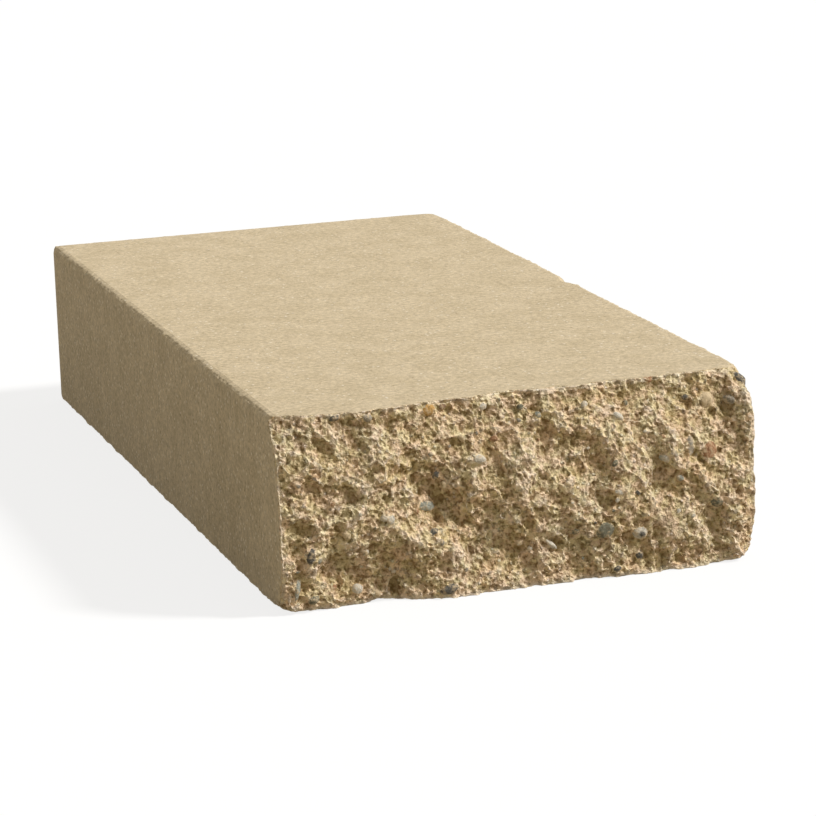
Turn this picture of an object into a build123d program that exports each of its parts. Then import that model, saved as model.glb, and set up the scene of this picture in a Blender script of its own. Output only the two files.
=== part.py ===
"""Split-face wall cap block: one piece of dry-cast concrete.

The block is pressed in a steel mould as half of a pair, and a splitter breaks the pair apart, so five of its
faces are flat and one short end is a rough fracture. Its frame: X across the width, +Y from the fracture to
the moulded back end, +Z up, with the origin at the middle of the underside. All sizes are in millimetres.
"""

import os
from math import cos, exp, pi, radians, sin

from build123d import *

# Overall sizes
length = 397.0  # moulded back end to the foremost point of the fracture
width = 194.0  # between the two long moulded sides
height = 76.0

# Moulded arrises
corner_radius = 3.0  # upright corners of the back end, rounded in the mould
arris_radius = 1.2  # top and bottom arrises, dulled as the block leaves the mould

# Fracture: how far the broken surface falls behind its foremost point, at even stations from left to right
top_fall = (11.5, 5.5, 5.0, 9.0, 12.5, 11.5, 11.0, 12.0, 11.5)  # along the top arris
middle_fall = (2.5, 3.0, 6.5, 7.0, 3.5, 6.0, 2.0, 2.0, 3.5)  # half way up
bottom_fall = (4.0, 6.5, 5.5, 2.0, 3.0, 3.5, 2.0, 2.5, 3.5)  # along the bottom arris

# Fracture: fine slanting steps, which run down to the right as the crack did
step_spacing = 19.0
step_rise = 0.5
step_slant = radians(38)  # from the X axis to the direction across the steps
step_waver = 1.1  # how far the steps wander from straight, in radians of their phase
waver_spacing = 47.0

# Fracture: hollows where flakes came away. Each has its place across the width and the height, its reach along
# and across its own slant, the slant in degrees, and its depth.
hollows = (
    (0.18, 0.11, 21, 8, -38, 2.5),
    (0.29, 0.60, 13, 4, -50, 2.0),
    (0.30, 0.76, 30, 7, -69, 2.0),
    (0.31, 0.94, 30, 7, 2, 1.5),
    (0.35, 0.41, 13, 4, -58, 1.6),
    (0.42, 0.20, 15, 7, 8, 2.0),
    (0.47, 0.12, 4, 8, 0, 1.6),
    (0.54, 0.53, 5, 6, 0, 2.5),
    (0.57, 0.70, 7, 16, 0, 2.0),
    (0.70, 0.32, 12, 7, -55, 2.0),
    (0.79, 0.54, 14, 4, -70, 2.5),
    (0.90, 0.28, 8, 5, -60, 2.0),
    (0.93, 0.12, 9, 8, 0, 2.0),
)

# Fracture: lumps and ridges left standing, described in the same way, with their height
lumps = (
    (0.03, 0.82, 13, 11, -17, 3.5),
    (0.07, 0.30, 4, 8, 0, 2.0),
    (0.20, 0.70, 12, 9, 50, 2.0),
    (0.23, 0.61, 11, 4, -28, 1.5),
    (0.29, 0.30, 20, 7, -24, 3.5),
    (0.32, 0.72, 13, 4, -52, 2.0),
    (0.39, 0.58, 7, 14, 0, 3.0),
    (0.51, 0.46, 8, 7, 0, 2.0),
    (0.61, 0.45, 23, 16, -38, 5.5),
    (0.64, 0.81, 28, 12, -17, 4.0),
    (0.68, 0.73, 18, 5, -50, 1.8),
    (0.70, 0.34, 7, 13, -12, 2.5),
    (0.80, 0.29, 15, 4, -38, 2.2),
    (0.81, 0.73, 15, 4, -66, 3.0),
    (0.82, 0.26, 9, 12, 0, 2.0),
    (0.90, 0.43, 13, 4, -40, 2.0),
    (0.96, 0.19, 5, 11, 0, 2.4),
    (1.00, 0.84, 7, 12, 0, 5.5),
)

# Fracture: spacing of the points that carry the surface, and how far it runs past the block before it cuts
section_rise = 4.6
station_pitch = 4.8
overrun = 7.0

# Chips knocked off the arrises: half the chip's length along the arris, and its depth
side_chip_reach, side_chip_depth = 10.5, 3.6
side_chip_place = 0.52  # along the right-hand top arris, from the fracture to the back
foot_chip_reach, foot_chip_depth = 6.0, 2.6
foot_chip_place = 0.21  # along the fracture's bottom arris, from left to right
back_corner_reach, back_corner_depth = 9.0, 3.2
front_corner_reach, front_corner_depth = 11.0, 5.2
foot_corner_reach, foot_corner_depth = 8.0, 3.4
left_foot_reach, left_foot_depth = 8.0, 4.2
nick_reach, nick_depth = 4.5, 1.3
left_nick_places = (0.30, 0.83)  # along the left-hand top arris
right_nick_places = (0.17, 0.36, 0.71)  # along the right-hand top arris

# Places that follow from the sizes
front = -length / 2
back = length / 2
right = width / 2
left = -width / 2


def along(line, share):
    """The value at a share of the way along a line of evenly spaced values, eased between them."""
    place = min(max(share, 0.0), 1.0) * (len(line) - 1)
    station = min(int(place), len(line) - 2)
    ease = (1 - cos(pi * (place - station))) / 2
    return line[station] + (line[station + 1] - line[station]) * ease


def swell(x, z, place_across, place_up, reach_along, reach_across, slant, height_there):
    """What one hollow or lump adds at one point across the end."""
    aside = x - left - place_across * width
    above = z - place_up * height
    turned_along = aside * cos(radians(slant)) + above * sin(radians(slant))
    turned_across = above * cos(radians(slant)) - aside * sin(radians(slant))
    return height_there * exp(-((turned_along / reach_along) ** 2) - (turned_across / reach_across) ** 2)


def fall(x, z):
    """How far the fracture lies behind a plane across the end at one point."""
    across = (x - left) / width
    up = z / height
    base = along((along(bottom_fall, across), along(middle_fall, across), along(top_fall, across)), up)
    waver = step_waver * sin(2 * pi * (x * sin(step_slant) - z * cos(step_slant)) / waver_spacing)
    phase = 2 * pi * (x * cos(step_slant) + z * sin(step_slant)) / step_spacing + waver
    steps = step_rise * sin(phase)
    flaked = sum(swell(x, z, *hollow) for hollow in hollows)
    standing = sum(swell(x, z, *lump) for lump in lumps)
    return base + steps + flaked - standing


def evenly(start, end, pitch):
    """Evenly spaced places from start to end, about a pitch apart."""
    count = max(round((end - start) / pitch), 3)
    return [start + (end - start) * i / count for i in range(count + 1)]


def knock_off(arris_point, outward, reach, depth):
    """Take a shell-shaped chip out of the part being built, centred on a point of an arris."""
    radius = (reach**2 + depth**2) / (2 * depth)
    centre = Vector(*arris_point) + Vector(*outward).normalized() * (radius - depth)
    with Locations(centre):
        Sphere(radius, mode=Mode.SUBTRACT)


# The points that carry the surface, and the foremost of them, which the block's length is measured to
stations = evenly(left - overrun, right + overrun, station_pitch)
levels = evenly(-overrun, height + overrun, section_rise)
foremost = min(fall(x, z) for x in stations for z in levels if abs(x) < right and 0 < z < height)

# The other half of the moulded pair, from the fracture outwards, lofted up through plan sections
with BuildPart() as other_half:
    for level in levels:
        with BuildSketch(Plane.XY.offset(level)):
            with BuildLine():
                crack = Spline(*[(x, front + fall(x, level) - foremost) for x in stations])
                Polyline(
                    crack @ 1,
                    (right + overrun, front - overrun),
                    (left - overrun, front - overrun),
                    crack @ 0,
                )
            make_face()
    loft()

with BuildPart() as cap_block:
    # The moulded block, run out past the fracture
    with BuildSketch():
        with Locations((0, (back + front - overrun) / 2)):
            Rectangle(width, length + overrun)
    extrude(amount=height)
    fillet(cap_block.edges().filter_by(Axis.Z).group_by(Axis.Y)[-1], corner_radius)
    fillet(cap_block.faces().sort_by(Axis.Z)[-1].edges(), arris_radius)
    fillet(cap_block.faces().sort_by(Axis.Z)[0].edges(), arris_radius)

    # The splitter breaks the other half away
    add(other_half.part, mode=Mode.SUBTRACT)

    # Chips from handling
    top_front = front + fall(right, height) - foremost
    foot_front = front + fall(right, 0) - foremost
    left_foot_front = front + fall(left, 0) - foremost
    foot_chip_front = front + fall(left + foot_chip_place * width, 0) - foremost
    knock_off((right, front + side_chip_place * length, height), (1, 0, 1), side_chip_reach, side_chip_depth)
    knock_off((left + foot_chip_place * width, foot_chip_front, 0), (0, -1, -1), foot_chip_reach, foot_chip_depth)
    knock_off((right, back, height), (1, 1, 1), back_corner_reach, back_corner_depth)
    knock_off((right, top_front, height), (1, -1, 1), front_corner_reach, front_corner_depth)
    knock_off((right, foot_front, 0), (1, -1, -1), foot_corner_reach, foot_corner_depth)
    knock_off((left, left_foot_front, 0), (-1, -1, -1), left_foot_reach, left_foot_depth)
    for place in left_nick_places:
        knock_off((left, front + place * length, height), (-1, 0, 1), nick_reach, nick_depth)
    for place in right_nick_places:
        knock_off((right, front + place * length, height), (1, 0, 1), nick_reach, nick_depth)

cap_block.part.label = "cap_block"
os.makedirs("parts", exist_ok=True)
export_step(cap_block.part, "parts/cap_block.step")
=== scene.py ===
# %% [markdown]
# # A split-face wall cap
# This lesson turns the plain solid of a concrete wall cap into one that looks cast, split and handled. The
# real block is pressed from a dry, sandy mix in a steel mould, two at a time, and a splitter then breaks the
# pair apart. Its moulded faces are flat and sandy. Its split end shows what is inside: clumps of sand, small
# pebbles, and hollows where flakes came away. All lengths in this file are in metres, in the solid's own
# frame: X across the split end, +Y towards the moulded back end, and Z up.

from math import cos, radians, sin

import bpy
import numpy as np
from mathutils import Euler, Matrix, Vector


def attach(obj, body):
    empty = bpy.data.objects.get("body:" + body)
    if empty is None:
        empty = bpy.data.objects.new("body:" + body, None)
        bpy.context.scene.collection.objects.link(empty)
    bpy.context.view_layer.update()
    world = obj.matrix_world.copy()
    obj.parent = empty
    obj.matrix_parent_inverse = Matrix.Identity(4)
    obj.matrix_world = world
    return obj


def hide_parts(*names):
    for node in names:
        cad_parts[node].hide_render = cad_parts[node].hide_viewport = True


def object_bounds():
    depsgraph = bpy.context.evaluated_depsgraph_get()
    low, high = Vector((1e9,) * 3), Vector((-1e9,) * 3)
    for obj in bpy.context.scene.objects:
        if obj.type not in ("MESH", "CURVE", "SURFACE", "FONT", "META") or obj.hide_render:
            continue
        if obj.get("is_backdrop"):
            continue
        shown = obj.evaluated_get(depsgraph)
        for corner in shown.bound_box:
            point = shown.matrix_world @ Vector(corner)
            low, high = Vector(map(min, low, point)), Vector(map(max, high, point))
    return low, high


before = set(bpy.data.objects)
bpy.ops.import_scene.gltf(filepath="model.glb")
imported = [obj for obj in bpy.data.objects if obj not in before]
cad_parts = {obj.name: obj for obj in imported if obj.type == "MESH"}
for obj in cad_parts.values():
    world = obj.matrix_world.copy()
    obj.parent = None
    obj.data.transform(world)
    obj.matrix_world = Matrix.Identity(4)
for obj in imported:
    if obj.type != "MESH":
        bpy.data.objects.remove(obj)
solid_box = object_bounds()
MM = 0.001
left, front, bottom = solid_box[0]
right, back, top = solid_box[1]
print("solid, mm:", [round(edge / MM, 1) for edge in (right - left, back - front, top - bottom)])

# %% [markdown]
# ## A skin that can be carved
# The solid's faces are as large as they can be, and a fracture needs a fine, even net of faces to carry its
# grain. The solid itself must stay as it is, so a copy of it is worked on. Subdividing the copy would keep
# its long thin triangles. A voxel remesh wraps it in small squares of one size instead, and it also fuses
# what overlaps, which the pebbles will need later. The first skin is coarse, because the large shapes come
# first.

# %% Copy and remesh
COARSE = 1.1 * MM
FINE = 0.52 * MM


def pick_only(thing):
    """Deselect everything, then select one object and make it the active one."""
    bpy.ops.object.select_all(action="DESELECT")
    thing.select_set(True)
    bpy.context.view_layer.objects.active = thing


def apply_modifier(thing, kind, **settings):
    """Add a modifier, set it up and apply it."""
    pick_only(thing)
    modifier = thing.modifiers.new(kind.lower(), kind)
    for name, value in settings.items():
        setattr(modifier, name, value)
    bpy.ops.object.modifier_apply(modifier=modifier.name)


def rows_of(items, name):
    """A value of three numbers, such as the place or the normal, for every vertex or face."""
    flat = np.empty(len(items) * 3, np.float32)
    items.foreach_get(name, flat)
    return flat.reshape(-1, 3)


def places(thing):
    return rows_of(thing.data.vertices, "co")


def put_back(thing, at):
    thing.data.vertices.foreach_set("co", at.ravel())
    thing.data.update()


block = bpy.data.objects.new("finished_block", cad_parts["cap_block"].data.copy())
block.data.name = "finished_block"
bpy.context.scene.collection.objects.link(block)
pick_only(block)
bpy.ops.object.mode_set(mode="EDIT")
bpy.ops.mesh.select_all(action="SELECT")
bpy.ops.mesh.remove_doubles(threshold=0.001 * MM)
bpy.ops.object.mode_set(mode="OBJECT")
apply_modifier(block, "REMESH", mode="VOXEL", voxel_size=COARSE)
print("coarse skin:", len(block.data.vertices), "vertices")

# %% [markdown]
# ## Where each shape may act
# A vertex group limits a modifier to part of the mesh. The group *crack* holds the split end, and fades out
# behind it, so that the flat faces move along with their broken edge and don't fold. Later groups hold less:
# *arris*, for one, is a narrow band along the moulded edges.

# %% Vertex groups from places

CRACK_DEPTH = 14 * MM  # how far back the split end reaches at full weight
CRACK_END = 26 * MM  # where its weight has faded out
WEIGHT_STEPS = 24


def weigh(thing, group_name, weights):
    """Store one weight for each vertex in a vertex group, in even steps."""
    group = thing.vertex_groups.get(group_name) or thing.vertex_groups.new(name=group_name)
    steps = np.rint(np.clip(weights, 0, 1) * WEIGHT_STEPS).astype(int)
    group.add(range(len(steps)), 0.0, "REPLACE")
    for step in range(1, WEIGHT_STEPS + 1):
        group.add(np.flatnonzero(steps == step).tolist(), step / WEIGHT_STEPS, "REPLACE")


def fade(value, whole, none):
    """1 where the value has reached whole, 0 where it has reached none, and an even slope between them."""
    return np.clip((value - none) / (whole - none), 0, 1)


def crack_weights(at):
    """1 on the split end, fading to 0 behind it."""
    return fade(at[:, 1], front + CRACK_DEPTH, front + CRACK_END)


def arris_weights(at, reach):
    """1 on the long and the back edges of the moulded block, fading to 0 at the reach."""
    to_side = np.minimum(at[:, 0] - left, right - at[:, 0])
    to_bed = np.minimum(at[:, 2] - bottom, top - at[:, 2])
    to_back = back - at[:, 1]
    near = np.sort(np.stack([to_side, to_bed, to_back]), axis=0)
    return fade(np.hypot(near[0], near[1]), 0.3 * MM, reach)


at = places(block)
weigh(block, "crack", crack_weights(at))
print("vertices on the split end:", int((crack_weights(at) == 1).sum()))

# %% [markdown]
# ## Worn corners
# A chip breaks off with sharp rims, and handling soon rubs them round. A Smooth modifier does the same to the
# skin round four corners: the two on the right of the split end, its left foot, and the right one at the
# back.

# %% Round the corners
worn_corners = (
    (right, front + 8 * MM, top),
    (right, back, top),
    (left, front, bottom),
    (right, front, bottom),
)
worn = np.zeros(len(at))
for corner in worn_corners:
    worn = np.maximum(worn, fade(np.linalg.norm(at - np.array(corner), axis=1), 10 * MM, 20 * MM))
weigh(block, "worn", worn)
apply_modifier(block, "SMOOTH", factor=0.5, iterations=40, vertex_group="worn")
print("vertices rubbed round:", int((worn > 0).sum()))

# %% [markdown]
# ## Flakes and ridges
# A crack through concrete runs round the larger stones and lifts flakes, so the end is full of hollows with
# sharp rims, and most rims slant down to the right. The solid has the large ones. Each smaller one is one dab
# of a Displace modifier. Its texture is a round blend, which is whole at its centre and nothing at its edge,
# and an empty says where the centre is, how far it reaches and which way it turns. A hollow is pushed in and
# a ridge is pulled out. The numbers are read off: millimetres from the left side and from the
# underside, then the long reach, the short reach, the turn of the long one in degrees, and the depth.

# %% Dabs
cone = bpy.data.textures.new("sharp ridge", "BLEND")
cone.progression = "SPHERICAL"
bowl = bpy.data.textures.new("soft hollow", "BLEND")
bowl.progression = "SPHERICAL"
bowl.use_color_ramp = True
bowl.color_ramp.interpolation = "EASE"
bowl.color_ramp.elements[0].color = (0, 0, 0, 1)
bowl.color_ramp.elements[1].color = (1, 1, 1, 1)
bowl.color_ramp.elements[1].position = 0.75

marker = bpy.data.objects.new("marker", None)
bpy.context.scene.collection.objects.link(marker)


def mark(across, y, up, size, turn):
    """Put the marker at a place on the split end, with its X axis turned up from level."""
    marker.location = (left + across * MM, y, bottom + up * MM)
    marker.scale = size
    marker.rotation_euler = (0, -radians(turn), 0)
    bpy.context.view_layer.update()


def displace(texture, height, group, direction="Y", mid=0.0):
    """Move a vertex group of the block by a texture that is read through the marker."""
    apply_modifier(
        block,
        "DISPLACE",
        texture=texture,
        texture_coords="OBJECT",
        texture_coords_object=marker,
        direction=direction,
        mid_level=mid,
        strength=height,
        vertex_group=group,
    )


def dab(across, up, reach, breadth, turn, depth, texture):
    mark(across, front, up, (reach * MM, 60 * MM, breadth * MM), turn)
    displace(texture, depth * MM, "crack")


hollows = (
    (27, 44.5, 7, 5, -30, 1.6),
    (34, 41, 9, 4, -25, 0.9),
    (18, 63, 8, 5, -60, 1.2),
    (9.5, 34, 6, 5, -20, 1.4),
    (22, 31, 6, 4, 90, 0.8),
    (8, 14, 9, 3.5, -75, 1.4),
    (18, 14, 5, 4, 0, 0.9),
    (46.5, 5, 8, 2.6, 88, 2.4),
    (63, 33, 6, 2.6, -55, 1.0),
    (75, 18, 5, 3.5, -70, 1.0),
    (84, 33, 6, 5, 0, 0.7),
    (84, 12, 5, 3, -60, 0.8),
    (99, 25, 6, 4, -60, 0.7),
    (73, 59, 8, 4, -38, 1.1),
    (93, 58, 6, 4, -60, 1.1),
    (110, 14, 6, 4, 80, 1.0),
    (118, 56, 8, 5, -30, 1.2),
    (129, 47, 7, 4, 90, 1.0),
    (143, 34, 5, 3.5, 90, 0.8),
    (145, 56, 7, 4, -50, 1.0),
    (155, 56, 6, 4, -60, 1.0),
    (169, 45, 6, 4, -50, 1.2),
    (177, 36, 7, 5, -40, 0.8),
    (124, 72, 12, 3.5, 0, 1.0),
    (155, 72, 8, 4, -10, 1.0),
    (165, 67, 7, 4, -40, 0.8),
    (163, 5, 8, 5, -40, 1.0),
    (184, 63, 12, 4, 90, 0.9),
    (57, 6, 8, 4, -10, 0.6),
    (45, 68, 6, 4, -60, 0.7),
)
ridges = (
    (5, 67, 7, 5, -60, 1.3),
    (1, 12, 6, 3, -80, 1.2),
    (25, 67, 6, 3.5, -50, 0.9),
    (14.5, 54, 9, 5, -55, 1.1),
    (29, 33, 7, 6, 0, 1.0),
    (28, 5.5, 12, 5, 3, 1.2),
    (54, 34, 9, 5, -70, 1.0),
    (52, 45, 7, 4, -60, 0.9),
    (67, 32, 12, 3.5, -50, 1.5),
    (54, 1, 9, 4, 0, 1.2),
    (80.5, 63, 8, 5, -60, 1.4),
    (67, 71, 8, 5, -50, 1.1),
    (86, 22, 10, 4, -5, 0.8),
    (100, 55, 8, 4.5, 85, 1.1),
    (115, 42, 15, 6, -50, 1.2),
    (103, 8, 9, 4.5, -80, 1.0),
    (114, 63, 8, 4, -40, 1.0),
    (134, 23, 9, 5, -40, 0.8),
    (148, 24, 6, 4, -60, 0.9),
    (164, 23, 12, 4, -45, 1.3),
    (172, 11, 11, 4, -60, 1.4),
    (173.5, 65, 8, 4.5, 80, 1.7),
    (184, 9, 8, 5, -60, 1.0),
    (104, 64, 5, 3, -20, 0.9),
)
for hollow in hollows:
    dab(*hollow, bowl)
for across, up, reach, breadth, turn, height in ridges:
    dab(across, up, reach, breadth, turn, -height, cone)
print("dabs:", len(hollows), "hollows and", len(ridges), "ridges")

# %% [markdown]
# ## Deeper relief
# Broken concrete is rougher than a surface eased between measured places. A sculptor would go over it once
# more and deepen what is there. Each vertex is therefore compared with the mean of what lies within about a
# centimetre of it. A share of the difference is added: hollows sink and ridges rise, wherever they are.

# %% Deepen


def behind_surroundings(thing, cell, passes, most):
    """How far each vertex near the split end lies behind the mean of the broken surface round it."""
    at = places(thing)
    broken = (crack_weights(at) > 0) & (rows_of(thing.data.vertices, "normal")[:, 1] < -0.35)
    column = np.clip((at[:, 0] - left) / cell, 0, (right - left) / cell).astype(int) + passes
    row = np.clip((at[:, 2] - bottom) / cell, 0, (top - bottom) / cell).astype(int) + passes
    shape = (int((right - left) / cell) + 2 * passes + 1, int((top - bottom) / cell) + 2 * passes + 1)
    total, count = np.zeros(shape), np.zeros(shape)
    np.add.at(total, (column[broken], row[broken]), at[broken, 1])
    np.add.at(count, (column[broken], row[broken]), 1)
    for _ in range(passes):
        for axis in (0, 1):
            total = total + (np.roll(total, 1, axis) + np.roll(total, -1, axis)) / 2
            count = count + (np.roll(count, 1, axis) + np.roll(count, -1, axis)) / 2
    around = (total / np.maximum(count, 1e-9))[column, row]
    return np.clip(at[:, 1] - around, -most, most) * crack_weights(at)


DEEPENING = 0.6
sunk = behind_surroundings(block, 2.0 * MM, 50, 6 * MM)
at = places(block)
at[:, 1] += DEEPENING * sunk
put_back(block, at)
print("deepened by up to, mm:", round(DEEPENING * float(np.abs(sunk).max()) / MM, 2))

# %% [markdown]
# ## Slanting steps and clumps
# The dabs are too even: real rims wander. A noise that moves the skin sideways bends every rim a little.
# Then two more noises fill in between the flakes. A ridged one, stretched along the slant, gives small sharp
# steps, and a lumpy one gives the clumps, each a few grains across. All are read through the marker, which
# sizes and turns a texture just as it does a dab.

# %% Steps and clumps


def noise_texture(name, kind, **settings):
    texture = bpy.data.textures.new(name, kind)
    for key, value in settings.items():
        setattr(texture, key, value)
    return texture


def roughen(texture, height, group, size, direction="Y", turn=0.0, mid=0.5):
    """Displace a vertex group by a texture, with the marker in the middle of the block. Lengths in mm."""
    mark(97, 0, 38, [length * MM for length in size], turn)
    displace(texture, height * MM, group, direction, mid)


def edge_distance(at):
    """How far each vertex lies inside the four moulded planes that meet the split end."""
    to_side = np.minimum(at[:, 0] - left, right - at[:, 0])
    return np.minimum(to_side, np.minimum(at[:, 2] - bottom, top - at[:, 2]))


weigh(block, "inner crack", crack_weights(at) * fade(edge_distance(at), 5 * MM, 0))
wander = noise_texture("wander", "CLOUDS", cloud_type="COLOR", noise_scale=1.0, noise_depth=2)
steps = noise_texture(
    "slanting steps",
    "MUSGRAVE",
    musgrave_type="RIDGED_MULTIFRACTAL",
    noise_scale=1.0,
    octaves=3,
    lacunarity=2.2,
)
clumps = noise_texture("clumps", "CLOUDS", noise_type="HARD_NOISE", noise_scale=1.0, noise_depth=2)
roughen(wander, 3.0, "inner crack", direction="RGB_TO_XYZ", size=(6, 40, 6))
roughen(steps, -0.9, "crack", size=(9, 30, 4.5), turn=-52)
roughen(clumps, 1.4, "crack", size=(4.4, 9, 3.0), turn=-50)

# %% [markdown]
# ## Pebbles
# The mix holds rounded river pebbles up to about 7 mm across. Where the crack ran round one, it sits half out
# of the sand. One pebble is an ico sphere, dented by a coarse noise. Its copies are stretched, turned and
# sunk into the skin, where a ray from the front meets it, and each copy has a mesh of its own.

# %% Pebble pattern and copies
random = np.random.default_rng(8)
dents = noise_texture("dents", "CLOUDS", noise_scale=0.9, noise_depth=1)
pebble_patterns = []
for number in range(3):
    bpy.ops.mesh.primitive_ico_sphere_add(subdivisions=3, radius=1.0, location=(3.0 * number, 0, 0))
    bpy.ops.object.transform_apply(location=True, rotation=False, scale=False)
    pattern = bpy.context.object
    pattern.name = f"pebble pattern {number}"
    apply_modifier(pattern, "DISPLACE", texture=dents, texture_coords="LOCAL", mid_level=0.5, strength=0.45)
    pattern.data.transform(Matrix.Translation((-3.0 * number, 0, 0)))
    pebble_patterns.append(pattern)

stone_colours = {
    "blue grey": (152, 156, 146),
    "slate": (86, 86, 82),
    "grey": (148, 140, 126),
    "green grey": (112, 112, 96),
    "white": (206, 200, 186),
    "ochre": (190, 148, 84),
    "rust": (156, 116, 84),
    "buff": (200, 180, 146),
    "brown": (124, 94, 72),
}

# Millimetres from the left side and the underside, length, breadth, turn, how proud it stands, and its colour
placed_pebbles = (
    (59.5, 35.5, 7.0, 4.6, -12, 1.0, "blue grey"),
    (62.0, 72.8, 6.0, 4.6, 20, 0.9, "ochre"),
    (67.5, 73.5, 4.0, 3.0, 0, 0.5, "brown"),
    (23.8, 74.3, 4.2, 2.6, 10, 0.8, "slate"),
    (36.5, 73.2, 4.4, 3.2, -20, 0.8, "grey"),
    (80.3, 52.6, 5.2, 3.4, -8, 1.1, "white"),
    (137.8, 63.3, 4.6, 2.6, -35, 1.2, "white"),
    (129.6, 19.8, 7.0, 6.0, 10, 1.4, "green grey"),
    (144.5, 16.9, 2.8, 2.2, -20, 1.9, "slate"),
    (144.2, 17.2, 5.6, 4.8, -15, 1.5, "white"),
    (11.6, 23.0, 7.5, 4.4, 80, 0.6, "slate"),
    (6.2, 9.5, 8.0, 2.6, 78, 0.5, "blue grey"),
    (12.8, 4.8, 4.5, 3.2, 20, 0.6, "green grey"),
    (66.0, 3.6, 7.0, 4.0, 14, 0.9, "slate"),
    (134.8, 3.6, 3.6, 2.6, 10, 0.7, "slate"),
    (144.2, 7.8, 3.6, 3.4, 60, 0.7, "slate"),
    (176.0, 64.6, 6.2, 5.6, 30, 2.0, "buff"),
    (186.3, 64.0, 5.6, 3.8, -20, 0.6, "grey"),
    (177.4, 26.0, 6.0, 5.0, -50, 0.8, "green grey"),
    (174.0, 46.0, 7.6, 6.6, 60, 0.7, "rust"),
    (155.6, 45.4, 3.6, 2.6, -50, 0.8, "white"),
    (166.0, 48.0, 9.0, 4.2, 80, 0.3, "grey"),
    (30.9, 6.4, 4.2, 3.8, 0, 1.0, "white"),
    (108.0, 16.2, 6.4, 2.2, -42, 1.4, "white"),
    (152.8, 75.0, 4.4, 3.2, 0, 0.6, "rust"),
    (44.0, 32.8, 4.0, 3.2, 40, 0.9, "white"),
    (84.5, 71.5, 3.4, 3.0, 0, 0.8, "white"),
    (191.6, 71.0, 7.0, 3.8, -50, 0.8, "slate"),
)


def skin_at(across, up):
    """Where a ray from the front meets the skin, and the way the skin faces there."""
    start = Vector((left + across * MM, front - 0.02, bottom + up * MM))
    hit, where, normal, _ = block.ray_cast(start, Vector((0, 1, 0)), distance=0.08)
    return (where, normal) if hit else (None, None)


pebbles = []


def set_pebble(across, up, length, breadth, turn, proud, colour):
    where, normal = skin_at(across, up)
    if where is None:
        return
    pebble = pebble_patterns[len(pebbles) % 3].copy()
    pebble.data = pebble.data.copy()
    bpy.context.scene.collection.objects.link(pebble)
    depth = 0.5 * (length + breadth) / 2
    middle = where + Vector((0, -1, 0)) * (proud - depth) * MM
    size = Matrix.Diagonal((length / 2 * MM, depth * MM, breadth / 2 * MM, 1))
    place = Matrix.Translation(middle) @ Euler((0, -radians(turn), 0)).to_matrix().to_4x4() @ size
    pebble.data.transform(place)
    pebbles.append((pebble, place, colour))


for pebble_line in placed_pebbles:
    set_pebble(*pebble_line)
small_colours = ("buff", "grey", "white", "buff", "green grey", "white", "slate", "buff", "rust", "blue grey")
for number in range(70):
    length = 1.6 + 2.4 * random.random() ** 2
    set_pebble(
        4 + 186 * random.random(),
        2.5 + 71 * random.random(),
        length,
        length * (0.6 + 0.3 * random.random()),
        180 * random.random(),
        0.25 + 0.5 * random.random(),
        small_colours[number % len(small_colours)],
    )
print("pebbles:", len(pebbles))

# %% [markdown]
# ## One skin over block and pebbles
# Joined as they are, the pebbles would stay loose shells that cut through the block. A second, finer remesh
# makes one closed skin of all of them. It forgets which face came from which piece, so each vertex is asked
# once more: those inside a slightly larger copy of a pebble's ellipsoid belong to that pebble.

# %% Fuse
bpy.ops.object.select_all(action="DESELECT")
for pebble, _, _ in pebbles:
    pebble.select_set(True)
block.select_set(True)
bpy.context.view_layer.objects.active = block
bpy.ops.object.join()
apply_modifier(block, "REMESH", mode="VOXEL", voxel_size=FINE)
at = places(block)
print("fine skin:", len(at), "vertices")


def linear(colour):
    """A screen colour of three numbers up to 255, as the plain light that a shader works in."""
    return [(c / 255 / 12.92 if c < 10.3 else ((c / 255 + 0.055) / 1.055) ** 2.4) for c in colour]


def pebble_marks(at):
    """For each vertex, how surely it lies on a pebble, and that pebble's colour."""
    mask = np.zeros(len(at), np.float32)
    tint = np.tile(np.array(linear(stone_colours["buff"]), np.float32), (len(at), 1))
    ends = np.flatnonzero(at[:, 1] < front + 30 * MM)
    for _, place, colour in pebbles:
        middle = np.array(place.translation)
        near = ends[np.abs(at[ends] - middle).max(axis=1) < 9 * MM]
        into = np.array(place.inverted())
        inside = np.linalg.norm(at[near] @ into[:3, :3].T + into[:3, 3], axis=1)
        sure = fade(inside, 1.06, 1.3)
        better = sure > mask[near]
        mask[near[better]] = sure[better]
        tint[near[better]] = linear(stone_colours[colour])
    return mask, tint


stone_mask, stone_tint = pebble_marks(at)
print("vertices on pebbles:", int((stone_mask > 0.5).sum()))

# %% [markdown]
# ## Grain of the fracture
# The finest shapes are grains of sand and the pits they leave, one to three millimetres across. They are
# pushed along the way the skin faces, so that they stand out on steep flanks too. The pebbles are smooth,
# and the group leaves them out.

# %% Sand grains
split_mask = crack_weights(at) * fade(edge_distance(at), 0.9 * MM, 0.05 * MM)
weigh(block, "grain", split_mask * (1 - stone_mask))
crusts = noise_texture("crusts", "CLOUDS", noise_type="HARD_NOISE", noise_scale=1.0, noise_depth=1)
grains = noise_texture("grains", "VORONOI", distance_metric="DISTANCE", noise_scale=1.0, noise_intensity=1.0)
roughen(crusts, -1.1, "grain", direction="NORMAL", size=(2.6, 2.6, 1.8), turn=-50, mid=0.0)
roughen(grains, -0.9, "grain", direction="NORMAL", size=(1.7, 1.7, 1.7), mid=0.0)

# %% [markdown]
# ## Crumbled arrises
# A dry mix crumbles a little wherever the mould lets go of an edge. A noise with clumps a few millimetres
# long bites into the moulded arrises, mostly inwards. The rim of the split end gets a finer noise, which
# leaves it ragged.

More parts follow.
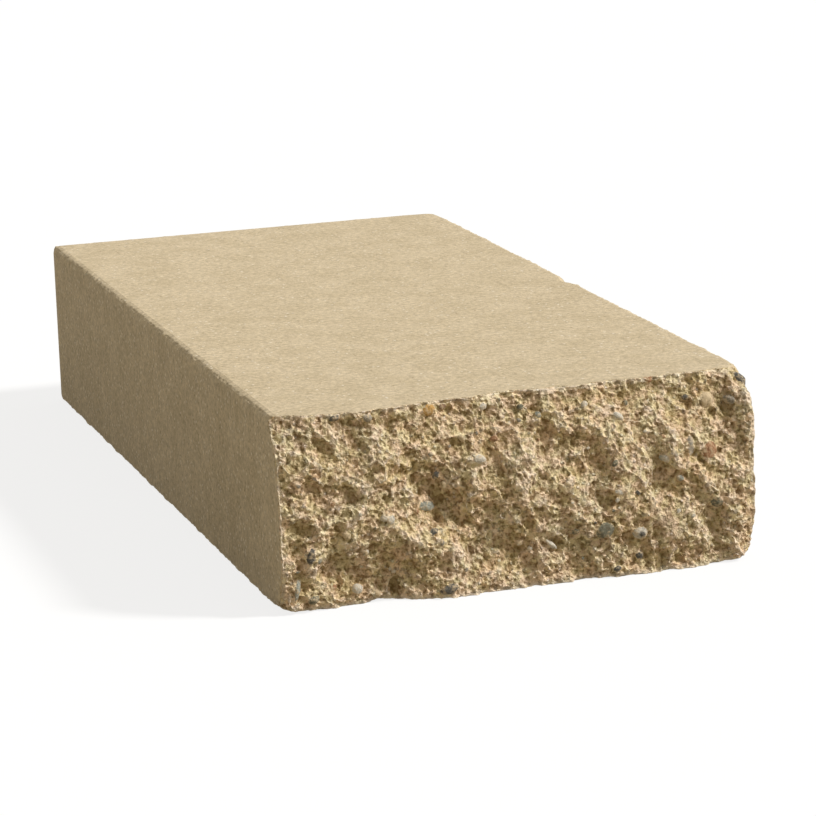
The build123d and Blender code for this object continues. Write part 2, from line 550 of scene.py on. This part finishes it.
# %% Arrises
at = places(block)
forward = rows_of(block.data.vertices, "normal")[:, 1] < -0.3
crack_rim = forward * crack_weights(at) * fade(edge_distance(at), 0.3 * MM, 2.4 * MM)
weigh(block, "arris", arris_weights(at, 3.2 * MM))
weigh(block, "rim", crack_rim)
crumbs = noise_texture("crumbs", "CLOUDS", noise_type="HARD_NOISE", noise_scale=1.0, noise_depth=3)
roughen(crumbs, 1.6, "arris", direction="NORMAL", size=(5.5, 5.5, 5.5), mid=0.8)
roughen(crumbs, 1.2, "rim", direction="NORMAL", size=(3.6, 3.6, 3.6), mid=0.5)

# %% [markdown]
# ## Inside the mould
# Nothing may stand outside the solid's box. On the moulded sides the box is the mould itself, so what pokes
# out is pressed flat. In front, where there was no mould, the last two millimetres are squeezed gently
# instead, which keeps the foremost grains round.

# %% Keep inside the box
at = places(block)
at[:, 0] = np.clip(at[:, 0], left, right)
at[:, 2] = np.clip(at[:, 2], bottom, top)
SQUEEZE = 2 * MM
ahead = at[:, 1] < front + SQUEEZE
at[ahead, 1] = front + SQUEEZE * np.exp((at[ahead, 1] - front) / SQUEEZE - 1)
put_back(block, at)
print("vertices squeezed in front:", int(ahead.sum()))

# %% [markdown]
# ## Fewer triangles
# Most of the skin is flat and needs no fine net. A Decimate modifier takes triangles away where that changes
# the shape least, so the flats give up nearly all of theirs and the split end keeps most. The materials will
# need to know where the pebbles and the hollows are, so each vertex stores that first, and the modifier
# passes it on.

# %% Decimate
MOST_TRIANGLES = 195000
# The rim is painted pale: partly pale broken paste, partly a painted highlight.
RIM_HOLLOWNESS = 0.2  # the rim is always pale

block.vertex_groups.clear()
# How far each vertex lies behind its surroundings. The split material paints shade into these hollows from
# it.
hollowness = 0.5 + behind_surroundings(block, 1.0 * MM, 8, 2 * MM) / (4 * MM)
hollowness = hollowness * (1 - crack_rim) + RIM_HOLLOWNESS * crack_rim
for name, values in (("pebble", stone_mask), ("hollow", hollowness.astype(np.float32))):
    attribute = block.data.attributes.new(name, "FLOAT", "POINT")
    attribute.data.foreach_set("value", values)
attribute = block.data.attributes.new("pebble_tint", "FLOAT_COLOR", "POINT")
stone_tint = np.column_stack([stone_tint, np.ones(len(stone_tint))]).astype(np.float32)
attribute.data.foreach_set("color", stone_tint.ravel())
triangles = sum(len(face.vertices) - 2 for face in block.data.polygons)
apply_modifier(block, "DECIMATE", ratio=MOST_TRIANGLES / triangles, use_collapse_triangulate=True)
print("triangles:", triangles, "before and", len(block.data.polygons), "after")

for pattern in pebble_patterns:
    bpy.data.objects.remove(pattern)
bpy.data.objects.remove(marker)
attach(block, "root")
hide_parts("cap_block")

# %% [markdown]
# ## Concrete in two finishes
# Against the mould, cement paste closes the surface to a fine, even sand with pale and dark specks. In the
# split, the same mix is coarser and browner. Both come from one node group with the colours and the grain
# size as inputs, placed in two materials with different values. The group only puts out a colour and a
# height.

# %% Node group: sandy mix


def wire(tree, kind, inputs=None, **settings):
    """Add a node, set it up, and give each input a value or another node's socket."""
    node = tree.nodes.new(kind)
    for name, value in settings.items():
        setattr(node, name, value)
    for name, value in (inputs or {}).items():
        if isinstance(value, bpy.types.NodeSocket):
            tree.links.new(value, node.inputs[name])
        else:
            node.inputs[name].default_value = value
    return node


def calculate(tree, operation, first, second=0.0):
    return wire(tree, "ShaderNodeMath", {0: first, 1: second}, operation=operation).outputs[0]


def spread(tree, value, low, high, to_low=0.0, to_high=1.0):
    """Stretch a value's range from low and high to two others, and clamp it there."""
    inputs = {"Value": value, "From Min": low, "From Max": high, "To Min": to_low, "To Max": to_high}
    return wire(tree, "ShaderNodeMapRange", inputs).outputs["Result"]


def blended(tree, factor, first, second, way="MIX"):
    """A blend of two colours. The Mix node's sockets for colours are the ones numbered 6 and 7."""
    mix = wire(tree, "ShaderNodeMix", data_type="RGBA", blend_type=way)
    for number, value in ((0, factor), (6, first), (7, second)):
        if isinstance(value, bpy.types.NodeSocket):
            tree.links.new(value, mix.inputs[number])
        else:
            mix.inputs[number].default_value = value
    return mix.outputs[2]


def noise(tree, place, scale, detail, roughness=0.5):
    inputs = {"Vector": place, "Scale": scale, "Detail": detail, "Roughness": roughness}
    return wire(tree, "ShaderNodeTexNoise", inputs).outputs["Fac"]


def speckles(tree, place, scale, reach, share, shift):
    """A mask of scattered specks: round cells of a Voronoi texture, of which only a share is kept."""
    moved = wire(tree, "ShaderNodeVectorMath", {0: place, 1: (shift, shift, shift)}, operation="ADD")
    cells = wire(tree, "ShaderNodeTexVoronoi", {"Vector": moved.outputs[0], "Scale": scale})
    lot = wire(tree, "ShaderNodeSeparateColor", {"Color": cells.outputs["Color"]}).outputs["Red"]
    chosen = calculate(tree, "LESS_THAN", lot, share)
    disc = spread(tree, cells.outputs["Distance"], reach * 1.25, reach * 0.75)
    return calculate(tree, "MULTIPLY", chosen, disc)


sandy_mix = bpy.data.node_groups.new("sandy mix", "ShaderNodeTree")
for name, kind in (
    ("Place", "NodeSocketVector"),
    ("Sand", "NodeSocketColor"),
    ("Warm sand", "NodeSocketColor"),
    ("Pale speck", "NodeSocketColor"),
    ("Dark speck", "NodeSocketColor"),
    ("Grain size", "NodeSocketFloat"),
    ("Contrast", "NodeSocketFloat"),
):
    sandy_mix.interface.new_socket(name, in_out="INPUT", socket_type=kind)
sandy_mix.interface.new_socket("Color", in_out="OUTPUT", socket_type="NodeSocketColor")
sandy_mix.interface.new_socket("Height", in_out="OUTPUT", socket_type="NodeSocketFloat")

given = wire(sandy_mix, "NodeGroupInput").outputs
grain_scale = calculate(sandy_mix, "DIVIDE", 1.0, given["Grain size"])
fine_grain = noise(sandy_mix, given["Place"], calculate(sandy_mix, "MULTIPLY", grain_scale, 0.4), 3.5, 0.9)
patches = noise(sandy_mix, given["Place"], 75.0, 5.0, 0.6)
sand = blended(sandy_mix, spread(sandy_mix, patches, 0.38, 0.62), given["Sand"], given["Warm sand"])
off_middle = calculate(sandy_mix, "SUBTRACT", fine_grain, 0.5)
shade = calculate(sandy_mix, "MULTIPLY_ADD", off_middle, given["Contrast"])
shade.node.inputs[2].default_value = 1.0
shaded = wire(sandy_mix, "ShaderNodeVectorMath", {0: sand, "Scale": shade}, operation="SCALE").outputs[0]
speck_scale = calculate(sandy_mix, "MULTIPLY", grain_scale, 0.42)
pale = speckles(sandy_mix, given["Place"], speck_scale, 0.24, 0.16, 0.0)
dark = speckles(sandy_mix, given["Place"], speck_scale, 0.22, 0.10, 0.5)
colour = blended(sandy_mix, calculate(sandy_mix, "MULTIPLY", pale, 0.75), shaded, given["Pale speck"])
colour = blended(sandy_mix, calculate(sandy_mix, "MULTIPLY", dark, 0.6), colour, given["Dark speck"])
height = calculate(sandy_mix, "ADD", fine_grain, calculate(sandy_mix, "MULTIPLY", pale, 0.5))
wire(sandy_mix, "NodeGroupOutput", {"Color": colour, "Height": height})
print("sandy mix:", len(sandy_mix.nodes), "nodes")

# %% [markdown]
# ## Materials
# Concrete is rough all over and has hardly any sheen, so its shader is simple and the colour does the work.
# The moulded finish is pale buff. The split finish wavers between olive and pink, and the pits between its
# grains are darkened as painted shade. It is darker in its hollows, partly because the broken paste is damp
# and catches dust and partly as painted shade, and paler on its ridges and rims, partly as pale broken paste
# and partly as a painted highlight. The pebbles take the colour that each vertex stored, crossed by pale and
# dark veins, and they are smoother, because water has rounded them.

# %% Moulded, split and pebble materials


def shade_of(*colour):
    return (*linear(colour), 1.0)


def new_material(name):
    material = bpy.data.materials.new(name)
    material.use_nodes = True
    material.node_tree.nodes.clear()
    return material, material.node_tree


def finish_material(tree, colour, height, bump_depth, roughness, sheen=0.25):
    """The shader of all three finishes: a matt surface with a bump of a real depth."""
    bump = wire(tree, "ShaderNodeBump", {"Height": height, "Distance": bump_depth})
    shader = wire(tree, "ShaderNodeBsdfPrincipled", {"Base Color": colour, "Normal": bump.outputs[0]})
    shader.inputs["Roughness"].default_value = roughness
    shader.inputs["Specular IOR Level"].default_value = sheen
    wire(tree, "ShaderNodeOutputMaterial", {"Surface": shader.outputs[0]})


def concrete(name, sand, warm, pale, dark, grain, contrast):
    material, tree = new_material(name)
    place = wire(tree, "ShaderNodeTexCoord").outputs["Object"]
    mix = wire(tree, "ShaderNodeGroup", node_tree=sandy_mix)
    tree.links.new(place, mix.inputs["Place"])
    for socket, value in (("Sand", sand), ("Warm sand", warm), ("Pale speck", pale), ("Dark speck", dark)):
        mix.inputs[socket].default_value = shade_of(*value)
    mix.inputs["Grain size"].default_value = grain
    mix.inputs["Contrast"].default_value = contrast
    return material, tree, place, mix.outputs


moulded, tree, place, mix = concrete(
    "moulded concrete",
    sand=(187, 171, 141),
    warm=(197, 181, 152),
    pale=(230, 220, 202),
    dark=(128, 108, 80),
    grain=0.95 * MM,
    contrast=1.7,
)
finish_material(tree, mix["Color"], mix["Height"], 0.16 * MM, 0.8, 0.3)

split, tree, place, mix = concrete(
    "split concrete",
    sand=(231, 214, 186),
    warm=(227, 204, 168),
    pale=(248, 240, 227),
    dark=(90, 68, 36),
    grain=1.0 * MM,
    contrast=1.7,
)
hollow = wire(tree, "ShaderNodeAttribute", attribute_name="hollow").outputs["Fac"]
# Painted shade, partly damp paste and dust: the hollows of the split end are darkened and browned.
hollow_shade_and_damp = spread(tree, hollow, 0.5, 0.85, 0.0, 0.6)
# Painted highlight, partly pale broken paste: the ridges and the rim are made paler.
proud = spread(tree, hollow, 0.5, 0.2, 0.0, 0.4)
hues = noise(tree, place, 210.0, 4.0, 0.7)
pits = noise(tree, place, 620.0, 2.0)
# Painted shade in the pits: the low spots of the pits noise, which is also the bump, are darkened.
pit_shade = spread(tree, pits, 0.55, 0.36, 0.0, 0.8)
olive_or_pink = blended(tree, spread(tree, hues, 0.42, 0.58), (0.95, 0.98, 0.85, 1), (1.0, 0.93, 0.93, 1))
colour = blended(tree, 1.0, mix["Color"], olive_or_pink, "MULTIPLY")
# The colour of the painted shade in the pits, olive or brown.
pit_shade_colour = blended(tree, spread(tree, hues, 0.4, 0.6), shade_of(98, 82, 38), shade_of(110, 82, 44))
colour = blended(tree, pit_shade, colour, pit_shade_colour)
colour = blended(tree, hollow_shade_and_damp, colour, shade_of(132, 106, 56))
colour = blended(tree, proud, colour, shade_of(250, 240, 226))
height = calculate(tree, "ADD", mix["Height"], calculate(tree, "MULTIPLY", pits, 0.8))
finish_material(tree, colour, height, 1.1 * MM, 0.95)

pebble, tree = new_material("river pebbles")
place = wire(tree, "ShaderNodeTexCoord").outputs["Object"]
tint = wire(tree, "ShaderNodeAttribute", attribute_name="pebble_tint").outputs["Color"]
veins = noise(tree, place, 520.0, 5.0, 0.7)
colour = blended(tree, spread(tree, veins, 0.47, 0.62, 0.0, 0.8), tint, shade_of(206, 184, 150))
colour = blended(tree, spread(tree, veins, 0.46, 0.36, 0.0, 0.6), colour, shade_of(96, 82, 60))
finish_material(tree, colour, veins, 0.9 * MM, 0.8)

# %% [markdown]
# ## Which face is which
# A face is moulded where it lies on one of the mould's five planes, and split where it is on the crack or
# down inside a chip. The pebbles' faces are found from their vertices. The mould's planes are shaded flat,
# because the few long triangles that are left there would show as streaks if they were smoothed.

# %% Assign
block.data.materials.clear()
for material in (moulded, split, pebble):
    block.data.materials.append(material)
count = len(block.data.polygons)
middles = rows_of(block.data.polygons, "center")
facing = rows_of(block.data.polygons, "normal")
corners = np.empty(len(block.data.loops), np.int32)
block.data.loops.foreach_get("vertex_index", corners)
stone_mask = np.empty(len(block.data.vertices), np.float32)
block.data.attributes["pebble"].data.foreach_get("value", stone_mask)
to_mould = np.minimum(
    np.minimum(middles[:, 0] - left, right - middles[:, 0]),
    np.minimum(np.minimum(middles[:, 2] - bottom, top - middles[:, 2]), back - middles[:, 1]),
)
CHIP_DEPTH = 1.6 * MM  # what lies deeper under the mould's planes is a chip
on_crack = (middles[:, 1] < front + CRACK_END) & (facing[:, 1] < -0.45)
broken = on_crack | (to_mould > CHIP_DEPTH)
on_pebble = broken & (stone_mask[corners.reshape(-1, 3)].mean(axis=1) > 0.5)
finish = np.where(on_pebble, 2, np.where(broken, 1, 0)).astype(np.int32)
block.data.polygons.foreach_set("material_index", finish)
pick_only(block)
bpy.ops.object.shade_smooth_by_angle(angle=radians(40))
straight = ~broken & (np.abs(facing).max(axis=1) > 0.999)
smooth = np.empty(count, bool)
block.data.polygons.foreach_get("use_smooth", smooth)
block.data.polygons.foreach_set("use_smooth", smooth & ~straight)
print("moulded, split and pebble faces:", np.bincount(finish))

# %% [markdown]
# ## Floor, light and camera
# A cap block is photographed on white. The floor looks white to the camera and in reflections, but lights the
# block no more than pale ground would, and it keeps the block's shadow. Seen from below it lets the eye
# through, and it lets the shortest rays through to the underside, which would be black otherwise. One
# sun-like lamp stands high on the right, so that it rakes across the split end, and the sky fills the shadows
# with a warm light.

# %% Floor and sky


def seen_directly(tree):
    """The light path's outputs, and 1 for the camera's own rays, mirrored ones and those through glass."""
    rays = wire(tree, "ShaderNodeLightPath").outputs
    mirrored = calculate(tree, "MAXIMUM", rays["Is Glossy Ray"], rays["Is Transmission Ray"])
    return rays, calculate(tree, "MAXIMUM", rays["Is Camera Ray"], mirrored)


bpy.ops.mesh.primitive_plane_add(size=14, location=(0, 0, -0.1 * MM))  # clear of the underside
floor = bpy.context.object
floor.name = "floor"
floor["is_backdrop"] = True
ground, tree = new_material("pale floor")
rays, seen = seen_directly(tree)
bounce = wire(tree, "ShaderNodeBsdfDiffuse", {"Color": shade_of(165, 155, 135)}).outputs[0]
white = wire(tree, "ShaderNodeBsdfDiffuse", {"Color": (0.95, 0.95, 0.95, 1)}).outputs[0]
glow = wire(tree, "ShaderNodeEmission", {"Strength": 1.0}).outputs[0]
shown = wire(tree, "ShaderNodeMixShader", {0: 0.8, 1: white, 2: glow}).outputs[0]
laid = wire(tree, "ShaderNodeMixShader", {0: seen, 1: bounce, 2: shown}).outputs[0]
clear = wire(tree, "ShaderNodeBsdfTransparent").outputs[0]
below = wire(tree, "ShaderNodeNewGeometry").outputs["Backfacing"]
short = calculate(tree, "LESS_THAN", rays["Ray Length"], 3 * MM)
passing = calculate(tree, "MAXIMUM", below, calculate(tree, "MULTIPLY", rays["Is Diffuse Ray"], short))
surface = wire(tree, "ShaderNodeMixShader", {0: passing, 1: laid, 2: clear}).outputs[0]
wire(tree, "ShaderNodeOutputMaterial", {"Surface": surface})
floor.data.materials.append(ground)

sky = bpy.data.worlds.new("sky")
bpy.context.scene.world = sky
sky.use_nodes = True
tree = sky.node_tree
tree.nodes.clear()
_, seen = seen_directly(tree)
fill = wire(tree, "ShaderNodeBackground", {"Color": (1.0, 0.93, 0.79, 1), "Strength": 0.40}).outputs[0]
white = wire(tree, "ShaderNodeBackground", {"Strength": 1.0, "Color": (1, 1, 1, 1)}).outputs[0]
surface = wire(tree, "ShaderNodeMixShader", {0: seen, 1: fill, 2: white}).outputs[0]
wire(tree, "ShaderNodeOutputWorld", {"Surface": surface})

# %% Key light
lamp_height, lamp_side = radians(43), radians(65)
lamp = bpy.data.lights.new("key", "SUN")
lamp.energy = 3.5
lamp.angle = radians(9)
lamp.color = (1.0, 0.985, 0.97)
key = bpy.data.objects.new("key", lamp)
bpy.context.scene.collection.objects.link(key)
toward = Vector((cos(lamp_height) * sin(lamp_side), -cos(lamp_height) * cos(lamp_side), sin(lamp_height)))
key.location = toward * 2
key.rotation_euler = toward.to_track_quat("Z", "Y").to_euler()

# %% Camera
camera = bpy.data.cameras.new("camera")
camera.lens = 149.66
camera.sensor_width = 36
camera.clip_start, camera.clip_end = 0.05, 50
eye = bpy.data.objects.new("camera", camera)
eye.location = (-0.42008, -1.3775, 0.37309)
eye.rotation_euler = (radians(76.537), radians(1.779), radians(-18.011))
bpy.context.scene.collection.objects.link(eye)
bpy.context.scene.camera = eye
bpy.context.scene.view_settings.view_transform = "Standard"

# %% [markdown]
# ## The two boxes
# The finished block has to stay inside the solid's box, or it would be another size. Both boxes are printed.

# %% Sizes and finish
shown_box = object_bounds()
for name, corners_of in (("solid", solid_box), ("finished", shown_box)):
    print(name, "box, mm:", [[round(value / MM, 2) for value in corner] for corner in corners_of])
